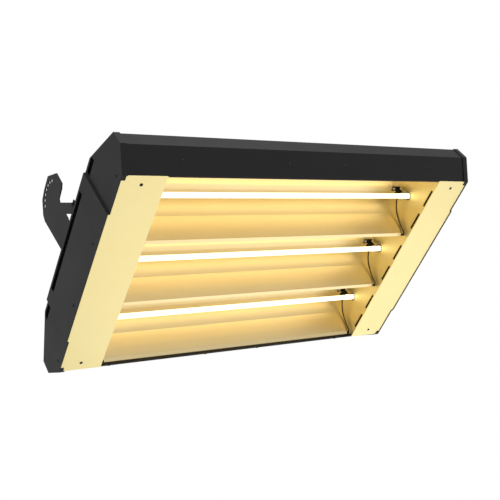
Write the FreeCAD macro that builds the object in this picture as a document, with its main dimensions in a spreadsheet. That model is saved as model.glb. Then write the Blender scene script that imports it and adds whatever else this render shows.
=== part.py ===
import FreeCAD, Part
import math
import os
import re

import Sketcher

# Three-lamp overhead radiant heater: a folded steel housing with two end caps, three gold reflector
# troughs with a quartz lamp in each, and a tilting hang bracket at each end of the back.
# X runs along the lamps, Y across them, and Z from the open front face (z = 0) to the brackets.

SIZES = {
    # overall housing
    "face_length": 904,
    "face_width": 498,
    "lip_width": 3,
    "lip_rise": 10,
    "bevel_step": 42,
    "back_step": 95,
    "bevel_rise": 40.5,
    "shoulder_rise": 74,
    "housing_depth": 130,
    "rail_sheet": 1.2,
    "back_sheet": 1.2,
    "back_flange": 15,
    "back_screw_inset": 42,
    "rail_end_gap": 5,
    # end caps
    "cap_sheet": 1.5,
    "cap_gap": 0.2,
    "cap_skirt": 13,
    "pad_rise": 4,
    "pad_width": 330,
    "pad_slope": 1.5,
    "corner_tab_length": 9.5,
    "corner_tab_width": 10,
    "vent_width": 14,
    "vent_from_back": 11,
    "long_vent": 254,
    "short_vent": 36,
    "short_vent_offset": 189,
    "cap_screw_rise": 20,
    "cap_screw_inner": 79,
    "cap_screw_inset": 14,
    # gold end panels
    "panel_width": 94,
    "panel_sheet": 1.0,
    "panel_gap": 0.2,
    "panel_wall_rise": 96,
    "panel_flange": 28,
    "flange_margin": 8,
    "panel_screw_inset": 44,
    "panel_screw_margin": 17,
    "lamp_hole_radius": 10,
    "slit_length": 45,
    "slit_width": 5.5,
    "slit_offset": 33.5,
    "slit_rise": 6.5,
    "tab_length": 32,
    "tab_reach": 24,
    "tab_sheet": 1.5,
    # reflector troughs
    "edge_margin": 2.25,
    "reflector_sheet": 0.8,
    "ridge_rise": 16,
    "ridge_width": 9,
    "crown_half": 7,
    "crown_rise": 91.5,
    "floor_inset": 43.75,
    "floor_rise": 94,
    "facet_inset": 22.75,
    "facet_rise": 65,
    "brow_inset": 9.25,
    "brow_rise": 35,
    "edge_lap": 2.5,
    "trough_end_gap": 0.3,
    "lead_hole_radius": 4.2,
    # lamps
    "lamp_rise": 62,
    "lamp_poke": 8,
    "tube_diameter": 12,
    "tube_wall": 1,
    "tube_seal": 12,
    "tube_seat": 16,
    "base_length": 30,
    "base_diameter": 13.6,
    "filament_diameter": 2.4,
    "support_ring_width": 0.8,
    "support_ring_count": 9,
    # lamp clips
    "clip_sheet": 1.2,
    "clip_ring_gap": 0.15,
    "clip_ring_width": 8,
    "clip_inset": 6,
    "clip_web_length": 36,
    "clip_web_foot": 8,
    "clip_foot_length": 24,
    "clip_screw_offset": 7,
    "clip_foot_width": 12,
    # reflector supports and clips
    "support_sheet": 1.2,
    "support_inset": 50,
    "support_flange": 26,
    "support_margin": 9,
    "support_gap": 0.15,
    "support_screw_inset": 15,
    "clasp_sheet": 1.2,
    "clasp_length": 20,
    "clasp_inner": 75,
    "clasp_inset": 33,
    # lead wires
    "lead_diameter": 3,
    "lead_room": 6,
    "lead_run_right": 20,
    "lead_run_left": 30,
    "lead_run_lift": 2,
    "lead_bend_reach": 25,
    # terminal block and cable entry
    "block_gap": 8,
    "block_length": 26,
    "block_width": 70,
    "block_depth": 40,
    "block_inset": 22.75,
    "terminal_pitch": 10,
    "cover_gap": 28,
    "cover_centre_y": -44,
    "cover_length": 50,
    "cover_width": 86,
    "cover_sheet": 1.5,
    "cover_margin": 9,
    "entry_radius": 11,
    "entry_bore": 6.5,
    "entry_wall": 2,
    "entry_flange": 3,
    "entry_height": 16,
    "entry_nut_height": 5,
    # tilt brackets
    "bracket_sheet": 2.5,
    "bracket_inset": 0.5,
    "bracket_web_reach": 29,
    "bracket_web_height": 62,
    "bracket_web_depth": 36,
    "bracket_curl": 8,
    "pivot_across": 27,
    "pivot_height": 45,
    "pivot_radius": 5,
    "pivot_running": 0.05,
    "pivot_play": 0.15,
    "arc_across": 2,
    "arc_height": 125.5,
    "arc_radius": 48.3,
    "arc_hole_radius": 4.5,
    "arc_hole_step": 15,
    "arc_hole_count": 7,
    "washer_radius": 11,
    "washer_sheet": 1.0,
    "nut_radius": 9,
    "nut_height": 5,
    "lug_sheet": 3,
    "lug_radius": 19,
    "foot_length": 42,
    "foot_low": 6,
    "foot_high": 50,
    "foot_screw_inset": 11,
    # screws
    "screw_radius": 2,
    "screw_head_radius": 3.6,
    "screw_head_height": 1.4,
    "screw_clearance": 0.15,
}

doc = FreeCAD.newDocument("radiant_heater")
sheet = doc.addObject("Spreadsheet::Sheet", "Sizes")
for row, (alias, value) in enumerate(SIZES.items(), start=1):
    sheet.set(f"A{row}", alias)
    sheet.set(f"B{row}", str(value))
    sheet.setAlias(f"B{row}", alias)
doc.recompute()

ORIGIN = FreeCAD.Vector(0, 0, 0)
X_AXIS = FreeCAD.Vector(1, 0, 0)
Y_AXIS = FreeCAD.Vector(0, 1, 0)
Z_AXIS = FreeCAD.Vector(0, 0, 1)
FLAT = FreeCAD.Rotation()
ACROSS = FreeCAD.Rotation(Y_AXIS, Z_AXIS, X_AXIS, "XYZ")
ALONG = FreeCAD.Rotation(X_AXIS, Z_AXIS, -Y_AXIS, "XYZ")
TO_X = FreeCAD.Rotation(Y_AXIS, 90)
TO_MINUS_X = FreeCAD.Rotation(Y_AXIS, -90)
TO_MINUS_Z = FreeCAD.Rotation(X_AXIS, 180)
SIDES = {"left": -1, "right": 1}
LAMPS = (1, 2, 3)

# Places worked out from the sizes.
PANEL_Z = "cap_sheet"
LIP_Z = "(cap_sheet + panel_sheet)"
FRONT_HALF = "(face_width / 2 + lip_width)"
SHOULDER_HALF = f"({FRONT_HALF} + bevel_step)"
BACK_HALF = f"({SHOULDER_HALF} - back_step)"
CAP_FACE = "(face_length / 2 + cap_sheet)"
CAP_EDGE = f"({CAP_FACE} - cap_skirt)"
RAIL_END = f"({CAP_FACE} - rail_end_gap)"
BACK_INNER_Z = "(housing_depth - back_sheet)"
WALL_X = "(face_length / 2 - panel_width)"
TROUGH_END = f"({WALL_X} - trough_end_gap)"
LAMP_PITCH = "((face_width - 2 * edge_margin) / 3)"
LAMP_END = f"({WALL_X} + lamp_poke)"
BASE_START = f"({LAMP_END} - base_length)"
RIDGE_HALF = f"({LAMP_PITCH} / 2 - ridge_width / 2)"
OUTER_WALL = f"(face_width / 2 - {LAMP_PITCH} - 1)"
LEAD_X = f"({WALL_X} - lead_room)"
PLATE_OUT = f"({CAP_EDGE} - bracket_inset)"
PLATE_IN = f"({PLATE_OUT} - bracket_sheet)"
BEVEL_RUN = "bevel_step"
BEVEL_CLIMB = f"(bevel_rise - {LIP_Z})"
BEVEL_SLOPE = f"sqrt({BEVEL_RUN} ^ 2 + {BEVEL_CLIMB} ^ 2)"
PIVOT_Z = "(housing_depth + pivot_height)"
ARC_Z = "(housing_depth + arc_height)"
WEB_Z = "(housing_depth + bracket_web_height)"
SUPPORT_X = f"({WALL_X} - support_inset)"
SUPPORT_HALF = f"({BACK_HALF} - back_flange - support_margin)"
CLASP_OUTER = f"({WALL_X} - clasp_inset)"
BLOCK_Y = f"({RIDGE_HALF} - block_inset)"
BLOCK_X = f"({WALL_X} + block_gap)"
COVER_X = f"({WALL_X} + cover_gap)"
LEAD_RISE = "((floor_rise + housing_depth) / 2 + lead_run_lift)"
PAD_EDGE = "(face_length / 2 + pad_rise - panel_gap)"
PANEL_EDGE = "(face_length / 2 - panel_gap)"
PANEL_HALF = f"({FRONT_HALF} - panel_gap)"
PANEL_SCREW_X = "(face_length / 2 - panel_screw_inset)"
PANEL_SCREW_Y = "(face_width / 2 - panel_screw_margin)"

nodes = {}


def bound(formula):
    """Formula in the size names, written for the document's expression engine."""
    return re.sub(r"[a-z_]+", lambda word: f"Sizes.{word[0]}" if word[0] in SIZES else word[0], str(formula))


def size(formula):
    """Present value of a formula in the size names."""
    return float(sheet.evalExpression(bound(formula)))


def fresh(kind, name):
    return doc.addObject(kind, name)


def place(item, x=0, y=0, z=0, turn=FLAT):
    item.Placement = FreeCAD.Placement(ORIGIN, turn)
    for axis, formula in (("x", x), ("y", y), ("z", z)):
        item.setExpression(f"Placement.Base.{axis}", bound(formula))
    return item


def outline(name, corners, turn, closed=True):
    """Sketch of straight lines whose corners are held at formulas along its own two axes."""
    sketch = fresh("Sketcher::SketchObject", name)
    count = len(corners)
    rough = [FreeCAD.Vector(10 * step, step * step, 0) for step in range(count)]
    lines = count if closed else count - 1
    sketch.addGeometry([Part.LineSegment(rough[i], rough[(i + 1) % count]) for i in range(lines)], False)
    joins = lines if closed else lines - 1
    sketch.addConstraint([Sketcher.Constraint("Coincident", i, 2, (i + 1) % lines, 1) for i in range(joins)])
    for i, corner in enumerate(corners):
        line, end = (i, 1) if i < lines else (lines - 1, 2)
        for kind, formula in zip(("DistanceX", "DistanceY"), corner):
            index = sketch.addConstraint(Sketcher.Constraint(kind, -1, 1, line, end, size(formula)))
            sketch.setExpression(f"Constraints[{index}]", bound(formula))
    sketch.Placement = FreeCAD.Placement(ORIGIN, turn)
    return sketch


def extrude(name, base, direction, start, length):
    """Solid of a flat face carried along an axis, from start for length."""
    solid = fresh("Part::Extrusion", name)
    solid.Base = base
    solid.DirMode = "Custom"
    solid.Dir = direction
    solid.Solid = True
    solid.setExpression("LengthFwd", bound(length))
    axis = "xyz"[[direction.x, direction.y, direction.z].index(1)]
    solid.setExpression(f"Placement.Base.{axis}", bound(start))
    return solid


def prism(name, corners, direction, start, length):
    turn = {"x": ACROSS, "y": ALONG, "z": FLAT}
    axis = "xyz"[[direction.x, direction.y, direction.z].index(1)]
    return extrude(name, outline(name + "_outline", corners, turn[axis]), direction, start, length)


def offset(name, base, distance):
    """Outline moved outwards by a distance, or inwards by a negative one."""
    ring = fresh("Part::Offset2D", name)
    ring.Source = base
    ring.Join = "Intersection"
    ring.Mode = "Pipe"
    ring.setExpression("Value", bound(distance))
    return ring


def strip(name, line, gauge):
    """Face between an open path and its copy moved to one side by the gauge."""
    band = fresh("Part::Offset2D", name)
    band.Source = line
    band.Join = "Intersection"
    band.Mode = "Skin"
    band.Fill = True
    band.setExpression("Value", bound(gauge))
    return band


def folded(name, path, direction, start, length, gauge):
    """Bent sheet: an open path given a thickness to one side of it, then carried along an axis."""
    turn = ACROSS if direction.x else ALONG
    line = outline(name + "_path", path, turn, closed=False)
    return extrude(name, strip(name + "_section", line, gauge), direction, start, length)


def block(name, low, spans, turn=FLAT):
    box = fresh("Part::Box", name)
    for side, formula in zip(("Length", "Width", "Height"), spans):
        box.setExpression(side, bound(formula))
    return place(box, *low, turn=turn)


def rod(name, centre, radius, length, turn=FLAT):
    cylinder = fresh("Part::Cylinder", name)
    cylinder.setExpression("Radius", bound(radius))
    cylinder.setExpression("Height", bound(length))
    return place(cylinder, *centre, turn=turn)


def hexagon(name, centre, radius, length, turn=FLAT):
    bar = fresh("Part::Prism", name)
    bar.Polygon = 6
    bar.setExpression("Circumradius", bound(radius))
    bar.setExpression("Height", bound(length))
    return place(bar, *centre, turn=turn)


def group(name, members):
    bundle = fresh("Part::Compound", name)
    bundle.Links = members
    return bundle


def cut(name, base, tool):
    result = fresh("Part::Cut", name)
    result.Base = base
    result.Tool = tool
    return result


def fuse(name, members):
    result = fresh("Part::MultiFuse", name)
    result.Shapes = members
    return result


def common(name, first, second):
    result = fresh("Part::Common", name)
    result.Base = first
    result.Tool = second
    return result


def mirrored(name, source, normal):
    result = fresh("Part::Mirroring", name)
    result.Source = source
    result.Base = ORIGIN
    result.Normal = normal
    return result


def keep(node, item):
    """Make an item a sub-part: its label names its file."""
    item.Label = node
    nodes[node] = item
    return item


def screw(name, centre, turn, length, radius="screw_radius", head="screw_head_radius"):
    """Screw with a low domed head; its seat is at centre and its shank runs along its own +Z."""
    shank = rod(name + "_shank", (0, 0, 0), f"{radius} - screw_clearance", length)
    crown = fresh("Part::Cone", name + "_head")
    crown.setExpression("Radius1", bound(f"{head} * 0.62"))
    crown.setExpression("Radius2", bound(head))
    crown.setExpression("Height", bound("screw_head_height"))
    place(crown, 0, 0, "-screw_head_height")
    slot = block(name + "_slot", (f"-{head}", "-screw_radius / 5", "-screw_head_height"),
                 (f"2 * {head}", "screw_radius * 0.4", "screw_head_height / 2"))
    head_cut = cut(name + "_slotted", crown, slot)
    return place(fuse(name, [shank, head_cut]), *centre, turn=turn)


def lamp_y(lamp):
    return f"({lamp - 2} * {LAMP_PITCH})"


# ---------------------------------------------------------------- housing

def side_rail():
    """Lower long side of the housing: hemmed front lip, bevel, side wall, back bevel and back flange."""
    path = [
        ("face_width / 2", "lip_rise"),
        ("face_width / 2", LIP_Z),
        (FRONT_HALF, LIP_Z),
        (SHOULDER_HALF, "bevel_rise"),
        (SHOULDER_HALF, "shoulder_rise"),
        (BACK_HALF, BACK_INNER_Z),
        (f"{BACK_HALF} - back_flange", BACK_INNER_Z),
    ]
    sheet_metal = folded("rail_sheet_metal", path, X_AXIS, f"-{RAIL_END}", f"2 * {RAIL_END}", "-rail_sheet")
    holes = []
    for index, along in enumerate(clasp_places()):
        holes.append(bevel_rod(f"rail_hole_{index}", along, "screw_radius", -4, 10))
    for index, along in enumerate(back_screw_places()):
        holes.append(rod(f"rail_back_hole_{index}", (along, f"{BACK_HALF} - back_flange / 2", "housing_depth - 8"),
                         "screw_radius", 12))
    return cut("rail_drilled", sheet_metal, group("rail_holes", holes))


def clasp_places():
    return [f"-{CLASP_OUTER}", "-clasp_inner", "clasp_inner", CLASP_OUTER]


def back_screw_places():
    return [f"({step - 2} * ({RAIL_END} - back_screw_inset) / 2)" for step in range(5)]


def bevel_turn():
    """Turn that points +Z into the housing through the lower bevel."""
    run, climb = size(BEVEL_RUN), size(BEVEL_CLIMB)
    return FreeCAD.Rotation(Z_AXIS, FreeCAD.Vector(0, -climb, run))


def bevel_point(depth, part_way=0.5):
    """Point part of the way up the lower bevel, depth inside its outer face, as two formulas."""
    across = f"{FRONT_HALF} + {BEVEL_RUN} * {part_way} - {BEVEL_CLIMB} / {BEVEL_SLOPE} * ({depth})"
    rise = f"{LIP_Z} + {BEVEL_CLIMB} * {part_way} + {BEVEL_RUN} / {BEVEL_SLOPE} * ({depth})"
    return across, rise


def bevel_rod(name, along, radius, depth, length):
    across, rise = bevel_point(depth)
    return rod(name, (along, across, rise), radius, length, bevel_turn())


def back_panel():
    """Flat back of the housing, with the cable entry opening near its right end."""
    plate = block("back_plate", (f"-{RAIL_END}", f"-{BACK_HALF}", BACK_INNER_Z),
                  (f"2 * {RAIL_END}", f"2 * {BACK_HALF}", "back_sheet"))
    holes = [block("entry_opening",
                   (f"{COVER_X} - cover_length / 2 + cover_margin",
                    "cover_centre_y - cover_width / 2 + cover_margin", "housing_depth - 5"),
                   ("cover_length - 2 * cover_margin", "cover_width - 2 * cover_margin", 10))]
    for side in (-1, 1):
        for index, along in enumerate(back_screw_places()):
            holes.append(rod(f"back_hole_{index}_{side + 1}",
                             (along, f"{side} * ({BACK_HALF} - back_flange / 2)", "housing_depth - 5"),
                             "screw_radius", 10))
    holes += [rod(f"foot_hole_{index}", (x, y, "housing_depth - 5"), "screw_radius", 10)
              for index, (x, y) in enumerate(foot_screw_places())]
    holes += [rod(f"cover_hole_{index}", (x, y, "housing_depth - 5"), "screw_radius", 10)
              for index, (x, y) in enumerate(cover_screw_places())]
    holes += [rod(f"support_hole_{index}", (x, y, "housing_depth - 5"), "screw_radius", 10)
              for index, (x, y) in enumerate(support_screw_places())]
    holes += [rod(f"block_hole_{index}", (x, y, "housing_depth - 5"), "screw_radius", 10)
              for index, (x, y) in enumerate(block_screw_places())]
    return cut("back_cut", plate, group("back_holes", holes))


def octagon(name):
    """Section of the housing that the end caps fit over."""
    corners = []
    half = [(FRONT_HALF, "cap_sheet + cap_gap"), (SHOULDER_HALF, "bevel_rise"),
            (SHOULDER_HALF, "shoulder_rise"), (BACK_HALF, "housing_depth")]
    for across, rise in half:
        corners.append((across, rise))
    for across, rise in reversed(half):
        corners.append((f"-({across})", rise))
    return outline(name, corners, ACROSS)


def cap_plan(name):
    """Outer face of the right end cap seen from the front, with its raised middle."""
    far = f"2 * {SHOULDER_HALF}"
    corners = [
        (f"{CAP_EDGE} - 20", f"-{far}"),
        (CAP_FACE, f"-{far}"),
        (CAP_FACE, "-pad_width / 2 - pad_slope"),
        (f"{CAP_FACE} + pad_rise", "-pad_width / 2"),
        (f"{CAP_FACE} + pad_rise", "pad_width / 2"),
        (CAP_FACE, "pad_width / 2 + pad_slope"),
        (CAP_FACE, far),
        (f"{CAP_EDGE} - 20", far),
    ]
    return outline(name, corners, FLAT)


def end_cap():
    """Right end cap: a folded tray over the housing's end, open behind the gold panel but for two corner tabs."""
    section = octagon("cap_section")
    plan = cap_plan("cap_plan")
    span = f"{CAP_FACE} + pad_rise - {CAP_EDGE} + 5"
    outer = common("cap_outer",
                   extrude("cap_outer_tube", offset("cap_outer_section", section, "cap_gap + cap_sheet"),
                           X_AXIS, CAP_EDGE, span),
                   extrude("cap_outer_block", plan, Z_AXIS, -20, "housing_depth + 60"))
    inner = common("cap_inner",
                   extrude("cap_inner_tube", offset("cap_inner_section", section, "cap_gap"),
                           X_AXIS, f"{CAP_EDGE} - 5", f"{span} + 5"),
                   extrude("cap_inner_block", offset("cap_inner_plan", plan, "-cap_sheet"),
                           Z_AXIS, -20, "housing_depth + 60"))
    tray = cut("cap_tray", outer, inner)
    tab_root = f"({FRONT_HALF} - corner_tab_width)"
    cuts = [
        block("cap_mouth_skirt", (f"{CAP_EDGE} - 1", f"-{FRONT_HALF}", -1),
              ("cap_skirt + 1 - corner_tab_length", f"2 * {FRONT_HALF}", "cap_sheet + 1.1")),
        block("cap_mouth_face", (f"{CAP_EDGE} - 1", f"-{tab_root}", -1),
              ("cap_skirt + 1 - cap_sheet", f"2 * {tab_root}", "cap_sheet + 1.1")),
        block("cap_mouth_pad", (f"{CAP_EDGE} - 1", "-pad_width / 2", -1),
              ("cap_skirt + 1 + pad_rise - cap_sheet", "pad_width", "cap_sheet + 1.1")),
    ]
    vents = [("long", "-long_vent / 2", "long_vent"),
             ("low", "-short_vent_offset - short_vent / 2", "short_vent"),
             ("high", "short_vent_offset - short_vent / 2", "short_vent")]
    for name, start, length in vents:
        cuts.append(block(f"vent_{name}", (f"{CAP_FACE} - 10", start,
                                           "housing_depth - vent_from_back - vent_width / 2"),
                          (30, length, "vent_width")))
    for index, across in enumerate(cap_screw_places()):
        cuts.append(rod(f"cap_hole_{index}", (f"{CAP_FACE} - 10", across, "cap_screw_rise"),
                        "screw_radius", 30, TO_X))
    return cut("cap_cut", tray, group("cap_cuts", cuts))


def cap_screw_places():
    outer = f"({FRONT_HALF} - cap_screw_inset)"
    return [f"-{outer}", "-cap_screw_inner", "cap_screw_inner", outer]


def end_panel():
    """Right gold panel: a face with three screw flanges at its stepped outer edge, and an inner wall."""
    path = [(PANEL_EDGE, PANEL_Z), (WALL_X, PANEL_Z), (WALL_X, "panel_wall_rise")]
    bent = folded("panel_bent", path, Y_AXIS, f"-{PANEL_HALF}", f"2 * {PANEL_HALF}", "-panel_sheet")
    pad_half = "(pad_width / 2 - cap_sheet)"
    middle = "(pad_width / 2 - flange_margin)"
    low = "(pad_width / 2 + flange_margin)"
    high = f"({PANEL_HALF} - flange_margin)"
    members = [
        bent,
        block("panel_step", (f"{PANEL_EDGE} - 1", f"-{pad_half}", PANEL_Z),
              (f"{PAD_EDGE} - {PANEL_EDGE} + 1", f"2 * {pad_half}", "panel_sheet")),
        block("panel_flange_middle", (f"{PAD_EDGE} - panel_sheet", f"-{middle}", PANEL_Z),
              ("panel_sheet", f"2 * {middle}", "panel_flange")),
        block("panel_flange_high", (f"{PANEL_EDGE} - panel_sheet", low, PANEL_Z),
              ("panel_sheet", f"{high} - {low}", "panel_flange")),
        block("panel_flange_low", (f"{PANEL_EDGE} - panel_sheet", f"-{high}", PANEL_Z),
              ("panel_sheet", f"{high} - {low}", "panel_flange")),
    ]
    blank = fuse("panel_blank", members)
    cuts = []
    for side in (-1, 1):
        cuts.append(block(f"panel_trim_{side + 1}",
                          (f"{WALL_X} - 5", f"{side} * (face_width / 2 + 5 - panel_gap) - 5", LIP_Z),
                          ("panel_sheet + 10", 10, "panel_wall_rise")))
        cuts.append(rod(f"panel_hole_{side + 1}", (PANEL_SCREW_X, f"{side} * {PANEL_SCREW_Y}", -5),
                        "screw_radius", 20))
    for index, across in enumerate(cap_screw_places()):
        cuts.append(rod(f"panel_flange_hole_{index}", (f"{RAIL_END} - 5", across, "cap_screw_rise"),
                        "screw_radius", 15, TO_X))
    for lamp in LAMPS:
        cuts.append(rod(f"lamp_hole_{lamp}", (f"{WALL_X} - 5", lamp_y(lamp), "lamp_rise"),
                        "lamp_hole_radius", 15, TO_X))
        for side in (-1, 1):
            cuts.append(block(f"slit_{lamp}_{side + 1}",
                              (f"{WALL_X} - 5", f"{lamp_y(lamp)} + {side} * slit_offset - slit_length / 2",
                               "slit_rise - slit_width / 2"), (15, "slit_length", "slit_width")))
    return cut("panel_cut", blank, group("panel_cuts", cuts))


def panel_tabs():
    """Four plates welded to the hems of the lips, which the end panels screw to."""
    tabs = []
    for end in (-1, 1):
        for side in (-1, 1):
            name = f"tab_{end + 1}_{side + 1}"
            plate = block(name, (f"{end} * {PANEL_SCREW_X} - tab_length / 2",
                                 f"{side} * (face_width / 2 - tab_reach / 2) - tab_reach / 2", LIP_Z),
                          ("tab_length", "tab_reach", "tab_sheet"))
            hole = rod(name + "_hole", (f"{end} * {PANEL_SCREW_X}", f"{side} * {PANEL_SCREW_Y}", -5),
                       "screw_radius", 20)
            tabs.append(cut(name + "_drilled", plate, hole))
    return group("panel_tab_group", tabs)


# ---------------------------------------------------------------- reflectors

def trough_path(near_outer, far_outer, lift):
    """Front surface of a trough from its -Y edge to its +Y edge, about its own lamp."""
    half = [("crown_half", "crown_rise"), (f"{RIDGE_HALF} - floor_inset", "floor_rise"),
            (f"{RIDGE_HALF} - facet_inset", "facet_rise"), (f"{RIDGE_HALF} - brow_inset", "brow_rise")]

    def edge(outer):
        if outer:
            return [(RIDGE_HALF, "ridge_rise"), (OUTER_WALL, "lip_rise"),
                    (f"{FRONT_HALF} - {LAMP_PITCH} + edge_lap", "lip_rise")]
        return [(f"{RIDGE_HALF} - {lift} / 2", f"ridge_rise + {lift}"),
                (f"{LAMP_PITCH} / 2 + ridge_width / 2 - {lift}", f"ridge_rise + {lift}")]

    far = half + edge(far_outer)
    near = [(f"-({across})", rise) for across, rise in half + edge(near_outer)]
    return list(reversed(near)) + far


def reflector(lamp):
    """One gold trough; the middle one laps over its neighbours at the ridges."""
    lift = "0" if lamp == 2 else "reflector_sheet"
    path = [(f"{lamp_y(lamp)} + {across}", rise)
            for across, rise in trough_path(lamp == 1, lamp == 3, lift)]
    bent = folded(f"trough_{lamp}", path, X_AXIS, f"-{TROUGH_END}", f"2 * {TROUGH_END}", "-reflector_sheet")
    holes = []
    for end in (-1, 1):
        for other in LAMPS:
            holes.append(rod(f"lead_hole_{lamp}_{other}_{end + 1}",
                             (f"{end} * {LEAD_X}", f"{lamp_y(other)} + {LAMP_PITCH} / 2", 0),
                             "lead_hole_radius", 60))
        holes.append(rod(f"clip_hole_{lamp}_{end + 1}", (f"{end} * {clip_screw_x()}", lamp_y(lamp), 80),
                         "screw_radius", 30))
    return cut(f"reflector_cut_{lamp}", bent, group(f"reflector_holes_{lamp}", holes))


def reflector_support():
    """Right channel between the trough floors and the back panel."""
    top = "(floor_rise + reflector_sheet + support_gap)"
    path = [(f"{SUPPORT_X} + support_flange", top), (SUPPORT_X, top), (SUPPORT_X, BACK_INNER_Z),
            (f"{SUPPORT_X} + support_flange", BACK_INNER_Z)]
    bent = folded("support_bent", path, Y_AXIS, f"-{SUPPORT_HALF}", f"2 * {SUPPORT_HALF}", "-support_sheet")
    holes = []
    for lamp in LAMPS:
        holes.append(rod(f"support_clip_hole_{lamp}", (clip_screw_x(), lamp_y(lamp), 80), "screw_radius", 30))
        holes.append(rod(f"support_lead_hole_{lamp}", (f"{SUPPORT_X} - 5", *lead_run(lamp, -1)),
                         "2 * lead_diameter", 15, TO_X))
    holes += [rod(f"support_screw_hole_{index}", (x, y, "housing_depth - 8"), "screw_radius", 20)
              for index, (x, y) in enumerate(support_screw_places()[:2])]
    return cut("support_cut", bent, group("support_holes", holes))


def support_screw_places():
    return [(f"{end} * ({SUPPORT_X} + support_flange / 2)", f"{side} * ({SUPPORT_HALF} - support_screw_inset)")
            for end in (1, -1) for side in (-1, 1)]


def reflector_clasps():
    """Spring clasps under the bevels that press the outer trough edges onto the lips."""
    start = bevel_point("rail_sheet", 0.6)
    low = bevel_point("rail_sheet", 0)
    clasp_z = "(lip_rise + reflector_sheet)"
    foot_y = f"{low[0]} + ({clasp_z} - ({low[1]})) * {BEVEL_RUN} / {BEVEL_CLIMB}"
    path = [start, (foot_y, clasp_z), (f"{FRONT_HALF} - edge_lap", clasp_z)]
    clasps = []
    for index, along in enumerate(clasp_places()):
        bent = folded(f"clasp_{index}", path, X_AXIS, f"{along} - clasp_length / 2", "clasp_length",
                      "clasp_sheet")
        clasps.append(cut(f"clasp_{index}_drilled", bent,
                          bevel_rod(f"clasp_hole_{index}", along, "screw_radius", -4, 12)))
    return group("clasp_group", clasps)


# ---------------------------------------------------------------- lamps

def lamp_tube(lamp):
    """Quartz tube, hollow between its two pinched ends."""
    half = f"({LAMP_END} - base_length + tube_seat)"
    glass = rod(f"tube_glass_{lamp}", (f"-{half}", lamp_y(lamp), "lamp_rise"), "tube_diameter / 2",
                f"2 * {half}", TO_X)
    hollow = rod(f"tube_hollow_{lamp}", (f"-{half} + tube_seal", lamp_y(lamp), "lamp_rise"),
                 "tube_diameter / 2 - tube_wall", f"2 * ({half} - tube_seal)", TO_X)
    return cut(f"tube_{lamp}", glass, hollow)


def lamp_filament(lamp):
    """Heating coil, kept straight by thin support rings."""
    half = f"({LAMP_END} - base_length + tube_seat - tube_seal)"
    coil = rod(f"coil_{lamp}", (f"-{half}", lamp_y(lamp), "lamp_rise"), "filament_diameter / 2",
               f"2 * {half}", TO_X)
    rings = []
    count = int(SIZES["support_ring_count"])
    for step in range(count):
        along = f"{half} * {2 * (step + 1) / (count + 1) - 1} - support_ring_width / 2"
        rings.append(rod(f"ring_{lamp}_{step}", (along, lamp_y(lamp), "lamp_rise"),
                         "tube_diameter / 2 - tube_wall - 0.2", "support_ring_width", TO_X))
    return fuse(f"filament_{lamp}", [coil] + rings)


def lamp_base(lamp, end):
    """Ceramic end of a lamp, with a seat for the tube and a side hole for its lead."""
    name = f"base_{lamp}_{end + 1}"
    turn = TO_X if end > 0 else TO_MINUS_X
    body = rod(name + "_body", (f"{end} * {BASE_START}", lamp_y(lamp), "lamp_rise"), "base_diameter / 2",
               "base_length", turn)
    seat = rod(name + "_seat", (f"{end} * {BASE_START}", lamp_y(lamp), "lamp_rise"), "tube_diameter / 2",
               "tube_seat", turn)
    return cut(name, body, seat)


def clip_foot_x():
    return f"({WALL_X} - clip_inset - clip_foot_length / 2)"


def clip_screw_x():
    return f"({clip_foot_x()} - clip_screw_offset)"


def lamp_clip(lamp, end):
    """Spring clip: a foot on the trough's crown, a three-cornered web and a ring open to the front."""
    name = f"clip_{lamp}_{end + 1}"
    y = lamp_y(lamp)
    ring_far = f"{WALL_X} - clip_inset"
    inner = "(base_diameter / 2 + clip_ring_gap)"
    outer = f"({inner} + clip_sheet)"
    turn = TO_X if end > 0 else TO_MINUS_X
    ring_x = f"{end} * ({ring_far} - clip_ring_width)"
    ring = cut(name + "_ring", rod(name + "_ring_outer", (ring_x, y, "lamp_rise"), outer, "clip_ring_width", turn),
               rod(name + "_ring_inner", (f"{ring_x} - {end}", y, "lamp_rise"), inner, "clip_ring_width + 2", turn))
    mouth = group(name + "_mouth", [
        block(name + "_mouth_near", (f"{end} * ({WALL_X} - 20) - 20", f"{y} - 20", "lamp_rise - 30"),
              (40, 20, 32)),
        block(name + "_mouth_far", (f"{end} * ({WALL_X} - 20) - 20", y, "lamp_rise - 30"), (40, 20, 25)),
    ])
    jaw = cut(name + "_jaw", ring, mouth)
    foot_low = "(crown_rise - clip_sheet)"
    far = f"{end} * ({ring_far})"
    near = f"{end} * ({ring_far} - clip_web_length)"
    foot_near = f"{end} * ({clip_foot_x()} + clip_foot_length / 2 - clip_web_foot)"
    foot_far = f"{end} * ({clip_foot_x()} + clip_foot_length / 2)"
    web_low = f"(lamp_rise + {inner} + clip_sheet / 2)"
    web = prism(name + "_web", [(near, web_low), (far, web_low), (foot_far, foot_low), (foot_near, foot_low)],
                Y_AXIS, f"{y} - clip_sheet / 2", "clip_sheet")
    foot = block(name + "_foot", (f"{end} * {clip_foot_x()} - clip_foot_length / 2",
                                  f"{y} - clip_foot_width / 2", foot_low),
                 ("clip_foot_length", "clip_foot_width", "clip_sheet"))
    hole = rod(name + "_hole", (f"{end} * {clip_screw_x()}", y, "crown_rise - 10"), "screw_radius", 20)
    return cut(name + "_drilled", fuse(name, [jaw, web, foot]), hole)


# ---------------------------------------------------------------- wiring

def lead_run(lamp, end):
    """Where a lead turns in the back space: its place across and its rise."""
    if (lamp, end) == (1, 1):
        across = f"{LAMP_PITCH} / 2"
    else:
        across = f"{RIDGE_HALF} - " + ("lead_run_right" if end > 0 else "lead_run_left")
    return f"({lamp_y(lamp)} + {across})", LEAD_RISE


def lead_terminal(lamp, end):
    """Place across of the terminal that a lead goes to."""
    index = {(1, 1): 0, (1, -1): 1, (2, -1): 2, (2, 1): 3, (3, -1): 4, (3, 1): 5}[lamp, end]
    return terminal_places()[index]


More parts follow.
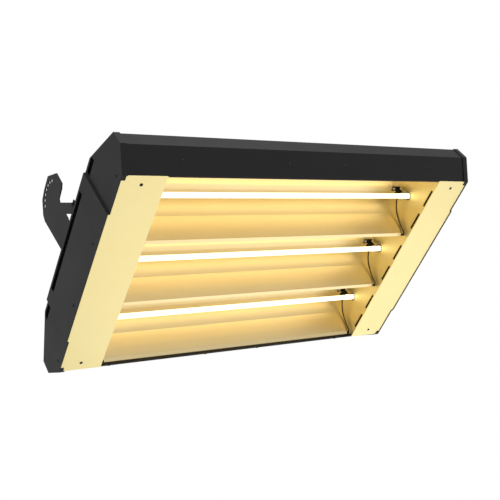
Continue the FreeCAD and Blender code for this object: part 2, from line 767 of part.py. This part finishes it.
def lead_route(lamp, end):
    """Corner points of one lead: round behind its lamp, down the far wall, over the ridge and back to its terminal."""
    y = size(lamp_y(lamp))
    ridge = y + size(f"{LAMP_PITCH} / 2")
    near_x = size(f"{BASE_START} + 4")
    far_x = size(LEAD_X)
    rise = size("lamp_rise")
    reach = size("base_diameter / 2 + 0.4") / math.sqrt(2)
    run_y, run_z = (size(part) for part in lead_run(lamp, end))
    terminal = size(lead_terminal(lamp, end))
    front = size(BLOCK_X)
    wall = y + size(RIDGE_HALF)
    ridge_rise, brow_rise, facet_rise = size("ridge_rise"), size("brow_rise"), size("facet_rise")
    floor_y = y + size(f"{RIDGE_HALF} - floor_inset")
    points = [
        (end * near_x, y + reach, rise + reach),
        (end * (near_x + 1), (y + floor_y) / 2, rise + 13),
        (end * (near_x + 4), floor_y, (rise + size("floor_rise")) / 2 - 10),
        (end * (near_x + 7), wall - 29, facet_rise - 6),
        (end * (near_x + 9), wall - 18, (facet_rise + brow_rise) / 2 - 5),
        (end * (far_x - 1), wall - 9, brow_rise - 6),
        (end * far_x, wall - 3, ridge_rise - 2.5),
        (end * far_x, ridge, ridge_rise - 5),
    ]
    if abs(run_y - ridge) > 1:
        points.append((end * far_x, ridge, rise + 6))
    points.append((end * far_x, run_y, run_z))
    turn_x = far_x if end > 0 else far_x - 2 * size("lead_room")
    if abs(terminal - run_y) > 1:
        points += [(turn_x, run_y, run_z)] if end < 0 else []
        points.append((turn_x, terminal, run_z))
    points.append((front, terminal, run_z))
    return [FreeCAD.Vector(*point) for point in points]


def rounded_path(points):
    """Straight runs joined by tangent arcs, each as large as its two runs allow."""
    edges = []
    start = points[0]
    for before, corner, after in zip(points, points[1:], points[2:]):
        back = (before - corner).normalize()
        ahead = (after - corner).normalize()
        turn = math.pi - back.getAngle(ahead)
        reach = min(0.45 * min((before - corner).Length, (after - corner).Length), size("lead_bend_reach"))
        radius = reach / math.tan(turn / 2)
        bisector = (back + ahead).normalize()
        first = corner + back * reach
        last = corner + ahead * reach
        middle = corner + bisector * (math.hypot(radius, reach) - radius)
        edges.append(Part.LineSegment(start, first).toShape())
        edges.append(Part.Arc(first, middle, last).toShape())
        start = last
    edges.append(Part.LineSegment(start, points[-1]).toShape())
    return Part.Wire(edges)


def lead_wire(lamp, end):
    """Sleeved lead from a lamp's ceramic end to its terminal."""
    points = lead_route(lamp, end)
    path = rounded_path(points)
    radius = size("lead_diameter / 2")
    ring = Part.Wire(Part.makeCircle(radius, points[0], points[1] - points[0]))
    tube = path.makePipeShell([ring], True, False)
    expected = math.pi * radius ** 2 * path.Length
    if abs(tube.Volume - expected) > 0.02 * expected:
        raise RuntimeError(f"lead {lamp} {end}: volume {tube.Volume:.1f}, expected {expected:.1f}")
    wire = fresh("Part::Feature", f"lead_tube_{lamp}_{end + 1}")
    wire.Shape = tube
    return wire


def terminal_block():
    """Ceramic terminal block on the inside of the back panel, under the cable entry's side."""
    low_y = f"({BLOCK_Y} - block_width / 2)"
    body = block("block_body", (BLOCK_X, low_y, f"{BACK_INNER_Z} - block_depth"),
                 ("block_length", "block_width", "block_depth"))
    cuts = [rod(f"block_screw_{index}", (x, y, "housing_depth - block_depth - 10"), "screw_radius", 60)
            for index, (x, y) in enumerate(block_screw_places())]
    for index, across in enumerate(terminal_places()):
        cuts.append(rod(f"terminal_well_{index}", (f"{BLOCK_X} + block_length * 0.4", across,
                                                   f"{BACK_INNER_Z} - block_depth - 1"), "screw_head_radius + 0.2", 5))
        cuts.append(rod(f"terminal_hole_{index}", (f"{BLOCK_X} + block_length * 0.4", across,
                                                   f"{BACK_INNER_Z} - block_depth"), "screw_radius", 12))
    return cut("block_cut", body, group("block_cuts", cuts))


def terminal_places():
    return [f"({BLOCK_Y} + terminal_pitch * {step - 2.5})" for step in range(6)]


def block_screw_places():
    return [(f"{BLOCK_X} + block_length - 5", f"{BLOCK_Y} + {side} * (block_width / 2 - 5)") for side in (-1, 1)]


def cover_screw_places():
    inset = "cover_margin / 2"
    return [(f"{COVER_X} + {along} * (cover_length / 2 - {inset})",
             f"cover_centre_y + {across} * (cover_width / 2 - {inset})") for along in (-1, 1) for across in (-1, 1)]


def entry_cover():
    """Plate over the wiring opening, with the cable entry through its middle."""
    plate = block("cover_plate", (f"{COVER_X} - cover_length / 2", "cover_centre_y - cover_width / 2",
                                  "housing_depth"), ("cover_length", "cover_width", "cover_sheet"))
    holes = [rod("entry_hole", (COVER_X, "cover_centre_y", "housing_depth - 5"), "entry_radius", 20)]
    holes += [rod(f"cover_screw_hole_{index}", (x, y, "housing_depth - 5"), "screw_radius", 20)
              for index, (x, y) in enumerate(cover_screw_places())]
    return cut("cover_cut", plate, group("cover_holes", holes))


def cable_gland():
    """Cable entry bush: a sleeve through the cover, a flange on top of it and a domed mouth."""
    seat = "(housing_depth + cover_sheet)"
    centre = (COVER_X, "cover_centre_y")
    sleeve = rod("gland_sleeve", (*centre, "housing_depth - entry_nut_height - 2"), "entry_radius - 0.1",
                 f"{seat} - housing_depth + entry_nut_height + 2 + 1")
    flange = hexagon("gland_flange", (*centre, seat), "entry_radius + 4", "entry_flange + 3")
    mouth = fresh("Part::Cone", "gland_mouth")
    mouth.setExpression("Radius1", bound("entry_radius + 2"))
    mouth.setExpression("Radius2", bound("entry_bore + entry_wall"))
    mouth.setExpression("Height", bound("entry_height - entry_flange - 3"))
    place(mouth, *centre, f"{seat} + entry_flange + 3")
    bore = rod("gland_bore", (*centre, "housing_depth - 30"), "entry_bore", 80)
    return cut("gland_cut", fuse("gland_body", [sleeve, flange, mouth]), bore)


def gland_nut():
    centre = (COVER_X, "cover_centre_y", "housing_depth - entry_nut_height")
    ring = hexagon("gland_nut_body", centre, "entry_radius + 4", "entry_nut_height")
    hole = rod("gland_nut_bore", (COVER_X, "cover_centre_y", "housing_depth - 20"), "entry_radius - 0.1", 40)
    return cut("gland_nut_cut", ring, hole)


# ---------------------------------------------------------------- tilt brackets

def arc_hole_places():
    first = 90 - SIZES["arc_hole_step"] * (SIZES["arc_hole_count"] - 1) / 2
    turns = [first + step * SIZES["arc_hole_step"] for step in range(SIZES["arc_hole_count"])]
    return [(f"arc_across + arc_radius * cos({turn})", f"{ARC_Z} + arc_radius * sin({turn})") for turn in turns]


def bracket():
    """Right hang bracket: a hooked plate with an arc of holes, and a web folded in from its edge."""
    fold = "(arc_across - 22.5)"
    corners = [
        ("arc_across - 62.5", f"{ARC_Z} + 22"),
        ("arc_across - 29.5", f"{ARC_Z} + 57"),
        ("arc_across + 7.5", f"{ARC_Z} + 57"),
        ("arc_across + 31.5", f"{ARC_Z} + 53"),
        ("arc_across + 55.5", f"{ARC_Z} + 30"),
        ("arc_across + 60.5", f"{ARC_Z} + 15"),
        ("pivot_across + 27.5", f"{PIVOT_Z} - 11"),
        ("pivot_across + 19", f"{PIVOT_Z} - 27"),
        ("pivot_across - 36", f"{PIVOT_Z} - 24"),
        (fold, f"{WEB_Z} - 18"),
        (fold, f"{WEB_Z} + bracket_web_depth"),
        ("arc_across - 27", f"{ARC_Z} - 20.5"),
        ("arc_across - 52", f"{ARC_Z} - 19"),
        ("arc_across - 62.5", f"{ARC_Z} - 14"),
    ]
    plate = prism("bracket_plate", corners, X_AXIS, PLATE_IN, "bracket_sheet")
    web = block("bracket_web", (f"{PLATE_IN} - bracket_web_reach", fold, WEB_Z),
                ("bracket_web_reach + bracket_sheet", "bracket_sheet", "bracket_web_depth"))
    curl = block("bracket_curl", (f"{PLATE_IN} - bracket_web_reach", f"{fold} - bracket_curl", WEB_Z),
                 ("bracket_sheet", "bracket_curl + bracket_sheet", "bracket_web_depth"))
    holes = [rod(f"arc_hole_{index}", (f"{PLATE_IN} - 5", across, rise), "arc_hole_radius", 20, TO_X)
             for index, (across, rise) in enumerate(arc_hole_places())]
    holes.append(rod("stud_hole", (f"{PLATE_IN} - 5", "pivot_across", PIVOT_Z), "pivot_radius", 20, TO_X))
    return cut("bracket_cut", fuse("bracket_bent", [plate, web, curl]), group("bracket_holes", holes))


LUG_OUT = f"({PLATE_IN} - washer_sheet - pivot_play)"
LUG_IN = f"({LUG_OUT} - lug_sheet)"


def pivot_stud():
    """Weld stud, flush with the bracket's outer face, that turns in the foot's lug."""
    return rod("stud_body", (f"{LUG_IN} - pivot_play - washer_sheet - nut_height - 3", "pivot_across", PIVOT_Z),
               "pivot_radius", f"{PLATE_OUT} - {LUG_IN} + pivot_play + washer_sheet + nut_height + 3", TO_X)


def ring_washer(name, start, radius, length):
    disc = rod(name + "_disc", (start, "pivot_across", PIVOT_Z), radius, length, TO_X)
    hole = rod(name + "_hole", (f"{start} - 1", "pivot_across", PIVOT_Z), "pivot_radius", f"{length} + 2", TO_X)
    return cut(name, disc, hole)


def pivot_washers():
    outer = ring_washer("washer_outer", f"{PLATE_IN} - washer_sheet", "washer_radius", "washer_sheet")
    inner = ring_washer("washer_inner", f"{LUG_IN} - pivot_play - washer_sheet", "washer_radius", "washer_sheet")
    return group("washer_pair", [outer, inner])


def pivot_nut():
    start = f"{LUG_IN} - pivot_play - washer_sheet - nut_height"
    body = hexagon("nut_body", (start, "pivot_across", PIVOT_Z), "nut_radius", "nut_height", TO_X)
    hole = rod("nut_hole", (f"{start} - 1", "pivot_across", PIVOT_Z), "pivot_radius", "nut_height + 2", TO_X)
    return cut("nut_cut", body, hole)


def bracket_foot():
    """Right foot: an angle on the back panel whose upright lug carries the bracket's stud."""
    base = block("foot_base", (f"{LUG_OUT} - foot_length", "foot_low", "housing_depth"),
                 ("foot_length", "foot_high - foot_low", "lug_sheet"))
    half = "lug_radius"
    upright = prism("lug_plate", [("foot_low", "housing_depth"), ("foot_high", "housing_depth"),
                                  (f"pivot_across + {half}", PIVOT_Z), (f"pivot_across - {half}", PIVOT_Z)],
                    X_AXIS, LUG_IN, "lug_sheet")
    eye = rod("lug_eye", (LUG_IN, "pivot_across", PIVOT_Z), "lug_radius", "lug_sheet", TO_X)
    holes = [rod("lug_bore", (f"{LUG_IN} - 5", "pivot_across", PIVOT_Z), "pivot_radius + pivot_running",
                 "lug_sheet + 10", TO_X)]
    holes += [rod(f"foot_screw_hole_{index}", (x, y, "housing_depth - 5"), "screw_radius", 20)
              for index, (x, y) in enumerate(foot_screw_places()[:2])]
    return cut("foot_cut", fuse("foot_body", [base, upright, eye]), group("foot_holes", holes))


def foot_screw_places():
    along = f"({LUG_OUT} - foot_length + foot_screw_inset)"
    return [(f"{end} * {along}", across) for end in (1, -1)
            for across in ("foot_low + foot_screw_inset", "foot_high - foot_screw_inset")]


# ---------------------------------------------------------------- screws

def seated(name, places, seat, turn, length):
    """Group of equal screws at (x, y) places on a face across Z."""
    return group(name, [screw(f"{name}_{index}", (x, y, seat), turn, length)
                        for index, (x, y) in enumerate(places)])


def bevel_screws():
    across, rise = bevel_point(0)
    return group("bevel_screw_group", [screw(f"bevel_screw_{index}", (along, across, rise), bevel_turn(), 6)
                                       for index, along in enumerate(clasp_places())])


def cap_screws():
    seats = [CAP_FACE, f"{CAP_FACE} + pad_rise", f"{CAP_FACE} + pad_rise", CAP_FACE]
    members = []
    for index, across in enumerate(cap_screw_places()):
        members.append(screw(f"cap_screw_{index}", (seats[index], across, "cap_screw_rise"), TO_MINUS_X, 14))
    return group("cap_screw_group", members)


# ---------------------------------------------------------------- the assembly

rail = side_rail()
keep("side_rail_lower", rail)
keep("side_rail_upper", mirrored("rail_upper", rail, Y_AXIS))
keep("back_panel", back_panel())

right_pairs = {
    "end_cap": end_cap(),
    "end_panel": end_panel(),
    "reflector_support": reflector_support(),
    "bracket_foot": bracket_foot(),
    "tilt_bracket": bracket(),
    "pivot_stud": pivot_stud(),
    "pivot_washers": pivot_washers(),
    "pivot_nut": pivot_nut(),
}
for part_name, right_part in right_pairs.items():
    keep(f"{part_name}_right", right_part)
    keep(f"{part_name}_left", mirrored(f"{part_name}_left_copy", right_part, X_AXIS))

keep("panel_tabs", panel_tabs())
keep("reflector_clasps_lower", reflector_clasps())
keep("reflector_clasps_upper", mirrored("clasps_upper", nodes["reflector_clasps_lower"], Y_AXIS))

for lamp in LAMPS:
    keep(f"reflector_{lamp}", reflector(lamp))
    keep(f"lamp_tube_{lamp}", lamp_tube(lamp))
    keep(f"lamp_filament_{lamp}", lamp_filament(lamp))
    keep(f"lamp_bases_{lamp}", group(f"base_pair_{lamp}", [lamp_base(lamp, end) for end in SIDES.values()]))
    for end_name, end in SIDES.items():
        keep(f"lamp_clip_{end_name}_{lamp}", lamp_clip(lamp, end))
        keep(f"lamp_lead_{end_name}_{lamp}", lead_wire(lamp, end))

keep("terminal_block", terminal_block())
keep("entry_cover", entry_cover())
keep("cable_gland", cable_gland())
keep("cable_gland_nut", gland_nut())

rail_screws = bevel_screws()
right_cap_screws = cap_screws()
panel_screw_places = [(f"{end} * {PANEL_SCREW_X}", f"{side} * {PANEL_SCREW_Y}")
                      for end in (-1, 1) for side in (-1, 1)]
back_places = [(along, f"{side} * ({BACK_HALF} - back_flange / 2)")
               for side in (-1, 1) for along in back_screw_places()]
clip_places = [(f"{end} * {clip_screw_x()}", lamp_y(lamp)) for end in (-1, 1) for lamp in LAMPS]
terminal_wells = [(f"{BLOCK_X} + block_length * 0.4", across) for across in terminal_places()]
keep("side_rail_screws", group("rail_screw_group", [rail_screws, mirrored("rail_screws_upper", rail_screws, Y_AXIS)]))
keep("end_cap_screws", group("cap_screw_pair", [right_cap_screws, mirrored("cap_screws_left", right_cap_screws,
                                                                          X_AXIS)]))
keep("end_panel_screws", seated("panel_screw", panel_screw_places, PANEL_Z, FLAT, 6))
keep("back_panel_screws", seated("back_screw", back_places + support_screw_places(), "housing_depth",
                                 TO_MINUS_Z, 6))
keep("clip_screws", seated("clip_screw", clip_places, "crown_rise - clip_sheet", FLAT, 8))
keep("bracket_foot_screws", seated("foot_screw", foot_screw_places(), "housing_depth + lug_sheet", TO_MINUS_Z, 9))
keep("block_screws", seated("block_screw_set", block_screw_places(), "housing_depth", TO_MINUS_Z, 24))
keep("entry_cover_screws", seated("cover_screw", cover_screw_places(), "housing_depth + cover_sheet",
                                  TO_MINUS_Z, 7))
keep("terminal_screws", seated("terminal_screw", terminal_wells, f"{BACK_INNER_Z} - block_depth + 4", FLAT, 6))

doc.recompute()

broken = [item.Name for item in doc.Objects if {"Invalid", "Error"} & set(item.State)]
if broken:
    raise RuntimeError(f"failed objects: {broken}")
for node, item in nodes.items():
    if item.Shape.isNull() or not item.Shape.isValid() or not item.Shape.Solids:
        raise RuntimeError(f"bad shape: {node}")

os.makedirs("parts", exist_ok=True)
for node, item in nodes.items():
    item.Shape.exportStep(f"parts/{node}.step")
print(f"{len(nodes)} nodes")
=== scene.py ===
import math

import bpy
from mathutils import Matrix, Vector

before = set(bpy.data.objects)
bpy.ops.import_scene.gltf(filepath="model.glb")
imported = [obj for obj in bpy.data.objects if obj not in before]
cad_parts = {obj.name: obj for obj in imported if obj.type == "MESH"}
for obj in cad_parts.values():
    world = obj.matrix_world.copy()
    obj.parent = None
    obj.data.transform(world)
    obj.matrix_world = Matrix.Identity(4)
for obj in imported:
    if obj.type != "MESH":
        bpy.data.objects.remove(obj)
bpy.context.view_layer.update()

# ---- Side rails
# The two long sides of the housing, each one strip of 1.2 mm steel folded into a front lip, a bevel,
# a wall and a back bevel. They are powder coated satin black after folding.


class Wire:
    """One socket of a material's node tree. Arithmetic on it adds Math nodes."""

    def __init__(self, tree, socket=None):
        self.tree = tree
        self.socket = socket

    def node(self, kind, settings=None, inputs=None, output=0):
        """A node of that kind: its settings are set first, then its sockets' values and links."""
        made = self.tree.nodes.new(kind)
        for name, value in (settings or {}).items():
            setattr(made, name, value)
        for name, value in (inputs or {}).items():
            if isinstance(value, Wire):
                self.tree.links.new(value.socket, made.inputs[name])
            else:
                made.inputs[name].default_value = value
        return Wire(self.tree, made.outputs[output] if made.outputs else None)

    def maths(self, operation, first, second=0.0):
        return self.node("ShaderNodeMath", {"operation": operation}, {0: first, 1: second})

    def __add__(self, other):
        return self.maths("ADD", self, other)

    def __sub__(self, other):
        return self.maths("SUBTRACT", self, other)

    def __rsub__(self, other):
        return self.maths("SUBTRACT", other, self)

    def __mul__(self, other):
        return self.maths("MULTIPLY", self, other)

    def __lt__(self, other):
        return self.maths("LESS_THAN", self, other)

    __radd__ = __add__
    __rmul__ = __mul__

    def size(self):
        return self.maths("ABSOLUTE", self)

    def blend(self, low, high):
        """The colour low where this value is 0, and high where it is 1."""
        return self.node("ShaderNodeMix", {"data_type": "RGBA"}, {0: self, 6: low, 7: high}, output=2)

    def noise(self, scale, detail=2.0, stretch=(1.0, 1.0, 1.0)):
        """A cloud pattern in the object's own metres, drawn out along an axis by stretch."""
        place = self.node("ShaderNodeTexCoord", output="Object")
        drawn = self.node("ShaderNodeVectorMath", {"operation": "MULTIPLY"}, {0: place, 1: stretch})
        return self.node("ShaderNodeTexNoise", {}, {"Vector": drawn, "Scale": scale, "Detail": detail})

    def axis(self, letter):
        """The place along X, Y or Z, in metres."""
        place = self.node("ShaderNodeTexCoord", output="Object")
        return self.node("ShaderNodeSeparateXYZ", {}, {0: place}, output=letter)

    def bump(self, depth, strength=1.0):
        """A normal that this height pattern tilts, where depth is the relief in metres."""
        return self.node("ShaderNodeBump", {}, {"Height": self, "Strength": strength, "Distance": depth})

    def shader(self, **inputs):
        """A principled surface whose sockets are named with underscores for spaces."""
        named = {name.replace("_", " "): value for name, value in inputs.items()}
        return self.node("ShaderNodeBsdfPrincipled", {}, named)


def finish(name, surface):
    """A material with the look that surface(start) returns."""
    made = bpy.data.materials.new(name)
    made.use_nodes = True
    made.node_tree.nodes.clear()
    start = Wire(made.node_tree)
    start.node("ShaderNodeOutputMaterial", {}, {"Surface": surface(start)})
    return made


def coat(material, *nodes):
    """Gives CAD nodes that keep their own shape this finish."""
    for name in nodes:
        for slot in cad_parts[name].material_slots:
            slot.material = material


def powder_coat(start):
    film = start.noise(14.0, 3.0)
    peel = start.noise(1300.0)
    thin, thick = (0.0085, 0.0085, 0.0092, 1.0), (0.013, 0.013, 0.0138, 1.0)
    return start.shader(
        Base_Color=film.blend(thin, thick),
        Roughness=0.40 + 0.16 * film,
        Normal=peel.bump(0.00006, 0.5),
        Specular_IOR_Level=0.24,
    )


black_coat = finish("black_powder_coat", powder_coat)
coat(black_coat, "side_rail_upper", "side_rail_lower")

# ---- Back panel
# A flat sheet of the same steel that closes the back between the rails. It is coated black too, and
# two rows of screws hold it.
coat(black_coat, "back_panel")

# ---- End caps
# Trays of 1.5 mm steel, screwed over each end of the rails: a raised middle, three vent slots, and an
# open front behind the gold panel but for two corner tabs. Coated like the rails.
coat(black_coat, "end_cap_left", "end_cap_right")

# ---- Reflector supports and clasps
# Plain galvanised strips behind the reflectors: a folded bridge at each end and small spring clasps
# along the two rails. The zinc's spangle shows on them, and they carry no paint.


def galvanised(start):
    crystals = start.node(
        "ShaderNodeTexVoronoi",
        {"feature": "F1"},
        {"Vector": start.node("ShaderNodeTexCoord", output="Object"), "Scale": 160.0},
        output="Color",
    )
    flake = start.node("ShaderNodeSeparateColor", {}, {0: crystals})
    return start.shader(
        Base_Color=flake.blend((0.42, 0.43, 0.45, 1.0), (0.60, 0.61, 0.63, 1.0)),
        Metallic=1.0,
        Roughness=0.34 + 0.14 * flake,
    )


coat(finish("galvanised_sheet", galvanised),
     "reflector_support_left", "reflector_support_right",
     "reflector_clasps_upper", "reflector_clasps_lower", "panel_tabs")

# ---- Reflectors
# Three troughs of 0.8 mm gold anodised aluminium, side by side, folded into flat facets round each
# lamp. The sheet is half bright: it mirrors near things softly and carries a faint rolling grain.


def gold_mirror(start):
    grain = start.noise(420.0, 3.0, stretch=(0.02, 1.0, 1.0))
    clouds = start.noise(5.0, 2.0)
    return start.shader(
        Base_Color=clouds.blend((0.93, 0.73, 0.38, 1.0), (0.96, 0.79, 0.44, 1.0)),
        Metallic=1.0,
        Roughness=0.34 + 0.10 * grain,
        Normal=grain.bump(0.00002, 0.35),
    )


coat(finish("gold_mirror_sheet", gold_mirror), "reflector_1", "reflector_2", "reflector_3")

# ---- End panels
# Folded gold sheets that cover the lamp ends: a wide flange in the open face, an inner wall with the
# lamp holes, and six slits. They are satin anodised, paler than the troughs.


def gold_satin(start):
    grain = start.noise(700.0, 3.0, stretch=(1.0, 0.03, 1.0))
    clouds = start.noise(4.0, 2.0)
    return start.shader(
        Base_Color=clouds.blend((0.98, 0.83, 0.40, 1.0), (0.99, 0.87, 0.46, 1.0)),
        Metallic=1.0,
        Roughness=0.42 + 0.12 * grain,
        Normal=grain.bump(0.00002, 0.4),
    )


coat(finish("gold_satin_sheet", gold_satin), "end_panel_left", "end_panel_right")

# ---- Lamps
# Three quartz tubes with a tungsten coil and a steatite base pushed on each end, held by spring clips.
# The coil runs so hot that the tube glares white; the front of each base beside it carries a painted glow to
# match.
TROUGH_END = max(corner[0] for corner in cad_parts["reflector_2"].bound_box)
BASE_LAP = 0.0221
WALL_GAP = 0.0008
LIT_HALF = TROUGH_END - BASE_LAP
PANEL_WALL = TROUGH_END + WALL_GAP


def glowing_quartz(start):
    lit = (start.axis("X").size() < LIT_HALF)
    ripple = start.noise(60.0, 2.0)
    glow = start.shader(
        Base_Color=(0.9, 0.9, 0.88, 1.0),
        Roughness=0.08,
        Emission_Color=ripple.blend((1.0, 0.85, 0.54, 1.0), (1.0, 0.88, 0.58, 1.0)),
        Emission_Strength=1.6,
    )
    clear = start.shader(
        Base_Color=(0.95, 0.96, 0.97, 1.0), Roughness=0.04 + 0.03 * ripple, Transmission_Weight=0.9, IOR=1.46
    )
    return start.node("ShaderNodeMixShader", {}, {0: lit, 1: clear, 2: glow})


def hot_tungsten(start):
    turns = start.noise(900.0, 1.0)
    return start.shader(
        Base_Color=turns.blend((0.5, 0.45, 0.4, 1.0), (0.6, 0.55, 0.5, 1.0)),
        Metallic=1.0,
        Roughness=0.4,
        Emission_Color=turns.blend((1.0, 0.70, 0.36, 1.0), (1.0, 0.78, 0.46, 1.0)),
        Emission_Strength=3.0,
    )


def steatite(start, glow=0.0):
    """Ceramic; with a glow, the part of a lamp's base in front of the panel wall gets a painted glow like
    the tube's.
    """
    speckle = start.noise(500.0, 3.0)
    in_front = start.axis("X").size() < PANEL_WALL
    return start.shader(
        Base_Color=speckle.blend((0.74, 0.70, 0.62, 1.0), (0.84, 0.81, 0.74, 1.0)),
        Roughness=0.62 + 0.12 * speckle,
        Normal=speckle.bump(0.00008, 0.5),
        Emission_Color=in_front.blend((0.0, 0.0, 0.0, 1.0), (1.0, 0.86, 0.57, 1.0)),
        Emission_Strength=glow,
    )


quartz = finish("glowing_quartz", glowing_quartz)
tungsten = finish("hot_tungsten", hot_tungsten)
ceramic = finish("steatite", steatite)
# The bases' glow is a painted glow: the steatite gives no light of its own, it stands in for the glare at
# each tube end.
painted_glow_ceramic = finish("steatite_painted_glow", lambda start: steatite(start, 1.6))
for number in (1, 2, 3):
    coat(quartz, f"lamp_tube_{number}")
    coat(tungsten, f"lamp_filament_{number}")
    coat(painted_glow_ceramic, f"lamp_bases_{number}")

# ---- Lamp clips
# Heat-blued spring steel, bent from strip: each grips the ceramic end of a lamp and stands on a foot
# that is screwed to the trough's floor.


def blued_steel(start):
    heat = start.noise(70.0, 2.0)
    return start.shader(
        Base_Color=heat.blend((0.010, 0.010, 0.014, 1.0), (0.022, 0.018, 0.016, 1.0)),
        Metallic=0.3,
        Roughness=0.55 + 0.15 * heat,
        Specular_IOR_Level=0.2,
    )


blued = finish("blued_spring_steel", blued_steel)
coat(blued, *[f"lamp_clip_{side}_{number}" for side in ("left", "right") for number in (1, 2, 3)])

# ---- Lamp leads
# Nickel wire in a dark brown braided glass sleeve, from each lamp base out through the ridge and on
# to the terminal block.


def braided_sleeve(start):
    along, across, up = start.axis("X"), start.axis("Y"), start.axis("Z")
    one_way = start.maths("SINE", (along + across + up) * 2600.0)
    other_way = start.maths("SINE", (along - across - up) * 2600.0)
    braid = 0.5 + 0.25 * (one_way + other_way)
    return start.shader(
        Base_Color=braid.blend((0.006, 0.004, 0.003, 1.0), (0.020, 0.010, 0.007, 1.0)),
        Roughness=0.8,
        Normal=braid.bump(0.0001, 0.6),
    )


sleeve = finish("braided_sleeve", braided_sleeve)
coat(sleeve, *[f"lamp_lead_{side}_{number}" for side in ("left", "right") for number in (1, 2, 3)])

# ---- Terminal block and cable entry
# A ceramic block behind the right end panel takes the six leads. The supply comes in through a nylon
# bush in a small cover plate on the back, so that it can be wired with the heater in place.


def nylon(start):
    skin = start.noise(900.0, 2.0)
    return start.shader(
        Base_Color=skin.blend((0.014, 0.014, 0.016, 1.0), (0.022, 0.022, 0.024, 1.0)),
        Roughness=0.5 + 0.1 * skin,
        Normal=skin.bump(0.00004, 0.4),
    )


coat(ceramic, "terminal_block")
coat(finish("black_nylon", nylon), "cable_gland", "cable_gland_nut")
coat(black_coat, "entry_cover")

# ---- Tilt brackets
# A 2.5 mm steel bracket at each end of the back turns on a stud in the upright lug of its foot. Seven
# holes on an arc let it be bolted up at any of seven tilts.


def bright_zinc(start):
    haze = start.noise(40.0, 3.0)
    return start.shader(
        Base_Color=haze.blend((0.56, 0.56, 0.58, 1.0), (0.68, 0.68, 0.69, 1.0)),
        Metallic=1.0,
        Roughness=0.26 + 0.16 * haze,
    )


zinc = finish("bright_zinc", bright_zinc)
for side in ("left", "right"):
    coat(black_coat, f"bracket_foot_{side}", f"tilt_bracket_{side}", f"pivot_stud_{side}")
    coat(zinc, f"pivot_washers_{side}", f"pivot_nut_{side}")

# ---- Screws
# Slotted dome screws: blackened where they show on the black housing and the gold panels, and zinc
# plated where they are hidden or stand on the back.


def black_oxide(start):
    haze = start.noise(300.0, 2.0)
    return start.shader(
        Base_Color=haze.blend((0.012, 0.012, 0.013, 1.0), (0.03, 0.03, 0.032, 1.0)),
        Metallic=0.6,
        Roughness=0.34 + 0.16 * haze,
    )


coat(finish("black_oxide", black_oxide), "side_rail_screws", "end_cap_screws", "end_panel_screws")
coat(zinc, "back_panel_screws", "block_screws", "bracket_foot_screws", "clip_screws",
     "entry_cover_screws", "terminal_screws")

# ---- Studio
# A pale floor well below the heater, even white light all round, and large soft lamps.
FLOOR_DROP = 2.3
FLOOR_HALF = 12.0

floor_mesh = bpy.data.meshes.new("floor")
corners = [(x * FLOOR_HALF, y * FLOOR_HALF, -FLOOR_DROP) for x, y in ((-1, -1), (1, -1), (1, 1), (-1, 1))]
floor_mesh.from_pydata(corners, [], [(0, 1, 2, 3)])
floor = bpy.data.objects.new("floor", floor_mesh)
bpy.context.collection.objects.link(floor)


def pale_floor(start):
    mottle = start.noise(1.5, 2.0)
    return start.shader(
        Base_Color=mottle.blend((0.86, 0.86, 0.86, 1.0), (0.88, 0.88, 0.88, 1.0)), Roughness=0.9
    )


floor_mesh.materials.append(finish("pale_floor", pale_floor))

world = bpy.data.worlds.new("studio")
world.use_nodes = True
world.node_tree.nodes.clear()
sky = Wire(world.node_tree)
seen = sky.node("ShaderNodeLightPath", output="Is Camera Ray")
SKY_LIGHT = 0.64
strength = SKY_LIGHT + (1.0 - SKY_LIGHT) * seen
air = sky.node("ShaderNodeBackground", {}, {"Color": (1.0, 1.0, 1.0, 1.0), "Strength": strength})
sky.node("ShaderNodeOutputWorld", {}, {"Surface": air})
bpy.context.scene.world = world


def soft_lamp(name, place, towards, size, power):
    """A square area lamp aimed at a point."""
    lamp = bpy.data.lights.new(name, "AREA")
    lamp.shape = "SQUARE"
    lamp.size = size
    lamp.energy = power
    held = bpy.data.objects.new(name, lamp)
    held.location = place
    held.rotation_mode = "QUATERNION"
    held.rotation_quaternion = (Vector(towards) - Vector(place)).to_track_quat("-Z", "Y")
    bpy.context.collection.objects.link(held)


soft_lamp("key_lamp", (0.4, -2.2, 0.9), (0, 0, 0), 1.8, 28)
soft_lamp("fill_lamp", (1.8, 1.6, 1.2), (0, 0, 0), 2.0, 12)
soft_lamp("front_lamp", (1.5, 1.4, -1.9), (0, 0, 0), 2.6, 16)

camera = bpy.data.objects.new("camera", bpy.data.cameras.new("camera"))
LENS = 61.36
FAR_CLIP = 60.0
camera.data.lens = LENS
camera.data.clip_end = FAR_CLIP
right = Vector((0.82190, -0.34284, -0.45491))
above = Vector((0.03324, -0.76837, 0.63914))
behind = Vector((-0.56866, -0.54043, -0.62013))
turned = Matrix((right, above, behind)).transposed().to_4x4()
eye = Vector((-1.1300, -1.0454, -1.1238))
camera.matrix_world = Matrix.Translation(eye) @ turned
bpy.context.collection.objects.link(camera)
bpy.context.scene.camera = camera
bpy.context.scene.view_settings.view_transform = "Standard"
